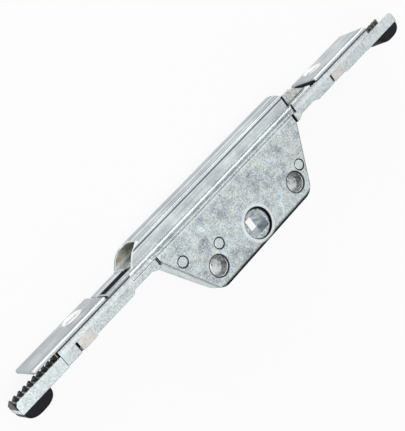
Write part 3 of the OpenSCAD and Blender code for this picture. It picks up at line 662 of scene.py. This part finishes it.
class WINDOWGEAR_OT_finish_housing(bpy.types.Operator):
    """Gives the case, arms, guides, strip, posts and small fixed pieces their materials"""

    bl_idname = "window_gear.finish_housing"
    bl_label = "Finish the housing"

    def execute(self, context):
        scene, sizes, colours = context.scene, context.scene.gear_sizes, context.scene.gear_colours
        finish(["case_front"], cast_zinc(
            "Zinc die casting, front of case", scene, holes=HOLES, edge=sizes.case_round, oil_and_shade=0.4, lines=(
                # Painted shade and painted highlights: dark lines and lit bands along the slanted sides, the rail and
                # its ledges, painted light over the shadow of the gap at the rail's left end, and painted shade as a
                # dark reflection along the bottom edge
                (LEFT_SIDE, LEFT_REACH - 0.4, 0.25, colours.zinc_shade, 0.7),
                (LEFT_SIDE, LEFT_REACH + 0.5, 0.5, colours.bare_metal_and_highlight, 0.4),
                (RIGHT_SIDE, RIGHT_REACH, 0.4, colours.zinc_shade, 0.6),
                (Y, 18.0, 1.2, colours.bare_metal_and_highlight, 0.35, (X, -48.0, -37.6)),
                (X, -47.6, 0.4, colours.zinc_light, 0.3, (Y, 17.0, 19.2)),
                (Y, 18.35, 0.6, colours.zinc_shade, 0.4, (X, -37.0, 37.0)),
                (Y, 17.1, 0.25, colours.bare_metal_and_highlight, 0.45, (X, -37.0, 37.0)),
                (Y, 17.7, 0.25, colours.crevice_oil_and_shade, 0.25, (X, -37.0, 37.0)),
                (Y, 19.0, 0.22, colours.crevice_oil_and_shade, 0.45), (Y, 19.75, 0.3, colours.bare_metal_and_highlight, 0.9),
                (Y, -7.1, 1.4, colours.crevice_oil_and_shade, 0.97, (Z, -1.5, 1.0)))))
        finish(["case_back"], cast_zinc("Zinc die casting, back of case", scene, edge=sizes.case_round))
        finish(["left_arm", "right_arm"], cast_zinc(
            "Zinc die casting, arms", scene, clouds=0.45, grainy=0.8, bright=0.1, oil_and_shade=0.15, lines=(
                # Painted highlight on the arms' upper band, painted shade in the slits, under the wings and at the
                # cover's end, and painted light over the shadow of the gap round the rail
                (Y, 18.0, 0.7, colours.bare_metal_and_highlight, 0.4), (Y, 19.4, 0.2, colours.crevice_oil_and_shade, 0.4),
                (Y, 19.4, 0.2, colours.crevice_oil_and_shade, 0.85, (X, -90.0, -46.0)),
                (Y, 19.4, 0.2, colours.crevice_oil_and_shade, 0.85, (X, 54.2, 90.0)),
                (Y, 17.35, 0.4, colours.zinc_light, 0.3, (X, -48.0, -37.6)),
                (X, -47.7, 0.4, colours.zinc_light, 0.3, (Y, 17.0, 19.2)),
                (X, -37.05, 0.45, colours.crevice_oil_and_shade, 1.0), (X, 37.15, 1.0, colours.crevice_oil_and_shade, 1.0),
                (X, -74.8, 0.3, colours.crevice_oil_and_shade, 0.95, (Y, 13.0, 16.9)),
                (X, 60.95, 0.7, colours.crevice_oil_and_shade, 1.0, (Y, 13.0, 16.7)),
                (X, 39.25, 0.55, colours.crevice_oil_and_shade, 0.95, (Y, 17.6, 21.0)))))
        finish(["end_guide_left", "end_guide_right"], cast_zinc(
            "Zinc die casting, guides", scene, clouds=0.5, grainy=0.8, bright=0.25, oil_and_shade=0.2))
        finish(["base_strip"], drawn_strip("Zinc plated strip, base", scene, lines=(
            # Painted shade at the cover's end and along the slot in the mouth, a painted highlight on the edge of the
            # mouth's floor, and a painted dark line along its back edge
            (X, 39.6, 0.45, colours.crevice_oil_and_shade, 0.95),
            (Z, -7.45, 0.55, colours.crevice_oil_and_shade, 0.95, (X, -56.4, -46.0)),
            (Z, -8.5, 0.4, colours.bare_metal_and_highlight, 0.85, (X, -57.4, -46.0)),
            (Z, -11.2, 0.3, colours.zinc_shade, 0.7, (X, -57.4, -46.0)))))
        finish(["fixing_post_left", "fixing_post_right"], two_tone_metal(
            "Steel post, cold headed and oiled", scene, colours.post_dark, colours.post_light, 1.2, oil_and_shade=0.3,
            metallic=0.8, lines=[line for x in POSTS for line in (
                # Painted shade on one side of each screw funnel and a painted highlight across its lower part
                (X, x - 2.9, 1.0, colours.crevice_oil_and_shade, 0.5, (Y, -1.8, 1.2)),
                (Y, -2.9, 1.6, colours.post_light, 0.7, (X, x - 0.6, x + 2.8)))]))
        finish(["plate_pegs", "guide_pins"], two_tone_metal(
            "Turned steel, zinc plated", scene, colours.steel_dark, colours.steel_light, 1.2))
        finish(["bar_springs"], two_tone_metal(
            "Spring steel, tempered", scene, colours.steel_dark, colours.steel_light, 0.6,
            stretch=(0.1, 1.0, 1.0), rough=0.25))
        finish(["stop_key_left", "stop_key_right"], two_tone_metal(
            "Zinc plate, yellow passivated keys", scene, colours.straw_dark, colours.straw_light, 1.5,
            metallic=0.6, rough=0.42))
        finish(["slot_plug_left", "slot_plug_right"], moulded_nylon("Nylon, slot pads", scene, shine=0.02))
        return {"FINISHED"}


class WINDOWGEAR_OT_finish_drive(bpy.types.Operator):
    """Gives the follower, bar, rack, pins and slide their materials"""

    bl_idname = "window_gear.finish_drive"
    bl_label = "Finish the drive"

    def execute(self, context):
        scene, colours = context.scene, context.scene.gear_colours
        finish(["drive_bar"], oiled_steel("Carbon steel, blackened and oiled", scene))
        # The smear here is a painted shadow crescent on the follower's face inside the bore's rim
        finish(["follower", "drive_rack", "slide_pins"], two_tone_metal(
            "Sintered steel, machined", scene, colours.steel_dark, colours.steel_light, 1.0, stretch=(1.0, 1.0, 0.3),
            smear=(-0.45, -0.2, 5.1)))
        # A painted black shade line on the slide where it comes out from under the cover's end
        finish(["upper_slide"], two_tone_metal(
            "Zinc plate, yellow passivated slide", scene, colours.strip_dark, colours.straw_light, 0.7,
            metallic=0.6, rough=0.42, lines=((X, 39.95, 0.65, colours.crevice_oil_and_shade, 0.95),)))
        return {"FINISHED"}


class WINDOWGEAR_OT_make_cover(bpy.types.Operator):
    """Bends the arched cover from sheet, with its slanted mouth"""

    bl_idname = "window_gear.make_cover"
    bl_label = "Make the slide cover"

    def execute(self, context):
        scene, sizes, colours = context.scene, context.scene.gear_sizes, context.scene.gear_colours
        low, high = millimetre_box("slide_cover")
        grid = cover_grid(low, high, sizes.cover_sheet / MM, sizes.cover_bend / MM)
        points, quads, inward = skin(grid)
        rings, count = grid.shape[:2]
        half = count // 2
        outside = np.tile(np.arange(count) < half - 1, rings - 1)
        near = np.arange(half - 1)
        rim = np.stack([near, near + 1, count - 2 - near, count - 1 - near], axis=1)
        rims = np.concatenate([rim, rim[:, ::-1] + (rings - 1) * count])
        turn = -1 if inward else 1
        materials = [
            drawn_strip("Zinc plated strip, cover", scene, bright=0.2, lines=(
                # Painted highlights and painted shade across the cover: a highlight on the front bend, dark lines
                # beside it and along the arch, and darker bands that cut the reflection on the arch
                (Y, 21.2, 0.9, colours.strip_dark, 0.2), (Y, 23.4, 0.25, colours.bare_metal_and_highlight, 0.3),
                (Y, 23.95, 0.3, colours.crevice_oil_and_shade, 0.7), (Y, 24.45, 0.2, colours.bare_metal_and_highlight, 0.8),
                (Y, 25.1, 0.25, colours.strip_dark, 0.75), (Z, -3.8, 0.7, colours.strip_dark, 0.35),
                (Z, -4.8, 0.4, colours.bare_metal_and_highlight, 0.35), (Z, -6.1, 0.7, colours.zinc_shade, 0.55),
                (Z, -8.0, 1.3, colours.strip_dark, 0.5))),
            # A dark line painted along the outer edge of the back wall's rim
            sheared_edge("Zinc plated strip, sheared edge", scene, lines=((Z, low[2], 0.4, colours.crevice_oil_and_shade, 0.9),)),
            two_tone_metal("Zinc plated strip, greased inside", scene, colours.grease_dark, colours.grease_light, 2.0,
                           stretch=(0.4, 1.0, 1.0), metallic=0.3, rough=0.6, oil_and_shade=0.3, lines=(
                               # A light line painted along the crease of back wall and floor, and painted shade in the
                               # top of the arch
                               (Y, 21.15, 0.25, colours.straw_light, 0.8),
                               (Z, -3.4, 0.7, colours.crevice_oil_and_shade, 0.85, (Y, 23.8, 26.0))))]
        piece("arched_cover", [
            (points, [(quads[outside][:, ::turn], 0), (quads[~outside][:, ::turn], 2), (rims[:, ::turn], 1)]),
            capped(tab_grid(low, high, sizes.cover_sheet / MM), side=1)],
            materials, "slide_cover", 35.0)
        return {"FINISHED"}


class WINDOWGEAR_OT_make_wings(bpy.types.Operator):
    """Forms the two faceplate wings, with rolled edges and a countersunk hole"""

    bl_idname = "window_gear.make_wings"
    bl_label = "Make the faceplate wings"

    def execute(self, context):
        scene, sizes, colours = context.scene, context.scene.gear_sizes, context.scene.gear_colours
        wings = []
        for node, inner, side in (("faceplate_left", 1, -1), ("faceplate_right", 0, 1)):
            box = millimetre_box(node)
            wings.append((node, box, np.array([box[inner][0] + side * WING_HOLE_IN, WING_HOLE_Z])))
        strip = drawn_strip(
            "Zinc plated strip, wings", scene,
            holes=[(*hole.tolist(), WING_HOLE_R) for node, box, hole in wings], lines=(
                # A darker tone over the whole plate, then a painted highlight on the rolled front edge and painted
                # shade: lines along the front, beside the hole and along the back edge
                (Z, -8.0, 14.0, colours.strip_dark, 0.35), (Z, -0.5, 0.7, colours.bare_metal_and_highlight, 0.75),
                (Z, -2.4, 0.6, colours.strip_dark, 0.6), (Z, -1.7, 0.3, colours.crevice_oil_and_shade, 0.5, (X, -76.0, -63.0)),
                (Z, -15.3, 0.8, colours.zinc_shade, 0.7), (Z, -6.5, 0.3, colours.crevice_oil_and_shade, 0.7, (X, -71.5, -63.5)),
                (Y, 20.2, 0.16, colours.zinc_shade, 0.6)))
        for node, box, hole in wings:
            grid = wing_grid(*box, hole, WING_HOLE_R, WING_SINK, sizes.plate_round / MM)
            points, quads, inward = skin(grid, wrap_rows=True)
            piece(node.replace("faceplate", "wing"), [(points, [(quads[:, ::-1 if inward else 1], 0)])],
                  [strip], node, 50.0)
        return {"FINISHED"}


class WINDOWGEAR_OT_make_rivets(bpy.types.Operator):
    """Turns the three case rivets, with crowned heads front and back"""

    bl_idname = "window_gear.make_rivets"
    bl_label = "Make the case rivets"

    def execute(self, context):
        scene = context.scene
        low, high = millimetre_box("case_rivets")
        profile = rivet_profile(low[2], high[2], scene.gear_sizes.rivet_crown / MM)
        metal = cast_zinc("Zinc plated steel, riveted over", scene, clouds=0.5, grainy=0.6, bright=0.1)
        piece("crowned_rivets", [capped(lathe(profile, centre, 40)) for centre in RIVETS],
              [metal], "case_rivets", 30.0)
        return {"FINISHED"}


class WINDOWGEAR_OT_make_feet(bpy.types.Operator):
    """Moulds the two half-round glide feet with their pegs"""

    bl_idname = "window_gear.make_feet"
    bl_label = "Make the glide feet"

    def execute(self, context):
        scene, edge = context.scene, context.scene.gear_sizes.foot_round / MM
        nylon = moulded_nylon("Nylon, moulded feet", scene)
        # Height of the flat top, how full the outline is, and the peg's profile as radius and height
        seat, fullness = 13.5, 2.5
        peg = np.array([[1.5, 13.0], [1.5, 14.6], [1.2, 14.9]])
        for node in ("foot_left", "foot_right"):
            low, high = millimetre_box(node)
            middle = (low + high)[[0, 2]] / 2
            piece(node.replace("foot", "glide"), [
                capped(foot_grid(low, high, seat, fullness, edge)), capped(lathe(peg, middle, 28)[:, :, [0, 2, 1]])],
                [nylon], node, 50.0)
        return {"FINISHED"}


class WINDOWGEAR_OT_set_stage(bpy.types.Operator):
    """Lays the pale floor and sets up the camera, the lamps, a black card and the white surround"""

    bl_idname = "window_gear.set_stage"
    bl_label = "Set the stage"

    def execute(self, context):
        scene, stage = context.scene, context.scene.gear_stage
        scene.view_settings.view_transform = "Standard"
        self.floor(scene)
        self.card(scene)
        self.surround(scene)
        right, up = Vector(stage.camera_right).normalized(), Vector(stage.camera_up).normalized()
        back = right.cross(up).normalized()
        camera = bpy.data.cameras.new("Photograph")
        camera.lens, camera.sensor_width, camera.clip_start = stage.lens, 36.0, 0.01
        holder = bpy.data.objects.new("Photograph", camera)
        holder.matrix_world = Matrix.Translation(stage.camera_place) @ Matrix((right, up, back)).transposed().to_4x4()
        scene.collection.objects.link(holder)
        scene.camera = holder
        self.lamp(scene, "Key", place=(0.29, 0.56, 0.20), size=0.34, power=stage.key_power)
        self.lamp(scene, "Fill", place=(-0.25, 0.02, 0.62), size=0.45, power=stage.fill_power)
        return {"FINISHED"}

    def lamp(self, scene, name, place, size, power):
        """A square soft lamp that faces the spindle axis."""
        light = bpy.data.lights.new(name, "AREA")
        light.shape, light.size, light.energy = "SQUARE", size, power
        holder = bpy.data.objects.new(name, light)
        holder.location = place
        holder.rotation_euler = Vector(place).to_track_quat("Z", "Y").to_euler()
        scene.collection.objects.link(holder)

    def sheet(self, scene, name, corner, across, along):
        """A flat grid of nine by nine points from a corner."""
        count = 9
        share = np.linspace(0.0, 1.0, count)
        u, v = np.meshgrid(share, share, indexing="ij")
        points = np.array(corner) + u[..., None] * np.array(across) + v[..., None] * np.array(along)
        index = np.arange(count * count).reshape(count, count)
        faces = np.stack([index[:-1, :-1], index[1:, :-1], index[1:, 1:], index[:-1, 1:]], axis=-1).reshape(-1, 4)
        mesh = bpy.data.meshes.new(name)
        mesh.from_pydata(points.reshape(-1, 3).tolist(), [], faces.tolist())
        flat = bpy.data.objects.new(name, mesh)
        scene.collection.objects.link(flat)
        return flat

    def floor(self, scene):
        """A wide floor just under the gear, white to the camera, with a soft shadow kept in it."""
        half, gap, glow_share = 1.5, 0.2 * MM, 0.88
        level = CAD_BOX[0][2] - gap
        ground = self.sheet(scene, "studio_floor", (-half, -half, level), (2 * half, 0, 0), (0, 2 * half, 0))
        material = bpy.data.materials.new("Matt painted floor")
        material.use_nodes = True
        tree = material.node_tree
        tree.nodes.clear()
        paint = add(tree, "ShaderNodeBsdfDiffuse", {"Color": scene.gear_colours.floor}, out="BSDF")
        glow = add(tree, "ShaderNodeEmission", {"Color": WHITE, "Strength": 1.0}, out="Emission")
        share = add(tree, "ShaderNodeMath", {0: self.seen(tree), 1: glow_share}, out="Value", operation="MULTIPLY")
        both = add(tree, "ShaderNodeMixShader", {0: share, 1: paint, 2: glow}, out="Shader")
        add(tree, "ShaderNodeOutputMaterial", {"Surface": both})
        ground.data.materials.append(material)

    def card(self, scene):
        """A black card below the case that only its polished edges show."""
        card = self.sheet(
            scene, "black_card", corner=(-0.35, -0.13, -0.01), across=(0.7, 0, 0), along=(0, -0.02, 0.16))
        card.visible_camera = card.visible_diffuse = card.visible_transmission = card.visible_shadow = False
        material = bpy.data.materials.new("Black paper")
        material.use_nodes = True
        shader = material.node_tree.nodes["Principled BSDF"]
        shader.inputs["Base Color"].default_value = scene.gear_colours.card
        shader.inputs["Roughness"].default_value = 0.9
        card.data.materials.append(material)

    def surround(self, scene):
        """A plain surround: white to the camera and in reflections, softer as light on the gear."""
        soft_light, seen_light = 0.55, 1.0
        world = bpy.data.worlds.new("Studio")
        world.use_nodes = True
        tree = world.node_tree
        tree.nodes.clear()
        level = add(tree, "ShaderNodeMapRange", {
            "Value": self.seen(tree), "To Min": soft_light, "To Max": seen_light}, out="Result")
        sky = add(tree, "ShaderNodeBackground", {"Color": WHITE, "Strength": level}, out="Background")
        add(tree, "ShaderNodeOutputWorld", {"Surface": sky})
        scene.world = world

    def seen(self, tree):
        """One for rays from the camera and for those that metal or glass turns, else nought."""
        path = add(tree, "ShaderNodeLightPath").outputs
        either = add(tree, "ShaderNodeMath", {
            0: path["Is Camera Ray"], 1: path["Is Glossy Ray"]}, out="Value", operation="MAXIMUM")
        return add(tree, "ShaderNodeMath", {
            0: either, 1: path["Is Transmission Ray"]}, out="Value", operation="MAXIMUM")


OPERATORS = (
    WINDOWGEAR_OT_finish_housing, WINDOWGEAR_OT_finish_drive, WINDOWGEAR_OT_make_cover, WINDOWGEAR_OT_make_wings,
    WINDOWGEAR_OT_make_rivets, WINDOWGEAR_OT_make_feet, WINDOWGEAR_OT_set_stage)


class WINDOWGEAR_PT_panel(bpy.types.Panel):
    """Lists the steps that dress the gear, with its sizes, colours and stage"""

    bl_label = "Window gear"
    bl_idname = "WINDOWGEAR_PT_panel"
    bl_space_type = "VIEW_3D"
    bl_region_type = "UI"
    bl_category = "Window gear"

    def draw(self, context):
        for operator in OPERATORS:
            self.layout.operator(operator.bl_idname)
        for group in (context.scene.gear_sizes, context.scene.gear_colours, context.scene.gear_stage):
            for name in type(group).__annotations__:
                self.layout.prop(group, name)


CLASSES = (GearSizes, GearColours, GearStage, *OPERATORS, WINDOWGEAR_PT_panel)


def register():
    """Adds the classes and the three groups of settings."""
    for kind in CLASSES:
        bpy.utils.register_class(kind)
    bpy.types.Scene.gear_sizes = bpy.props.PointerProperty(type=GearSizes)
    bpy.types.Scene.gear_colours = bpy.props.PointerProperty(type=GearColours)
    bpy.types.Scene.gear_stage = bpy.props.PointerProperty(type=GearStage)


def unregister():
    """Takes the settings and the classes away again."""
    del bpy.types.Scene.gear_stage, bpy.types.Scene.gear_colours, bpy.types.Scene.gear_sizes
    for kind in reversed(CLASSES):
        bpy.utils.unregister_class(kind)


def main():
    """Registers the add-on and runs its steps in order."""
    register()
    steps = bpy.ops.window_gear
    steps.finish_housing()
    steps.finish_drive()
    steps.make_cover()
    steps.make_wings()
    steps.make_rivets()
    steps.make_feet()
    steps.set_stage()


if __name__ == "__main__":
    main()
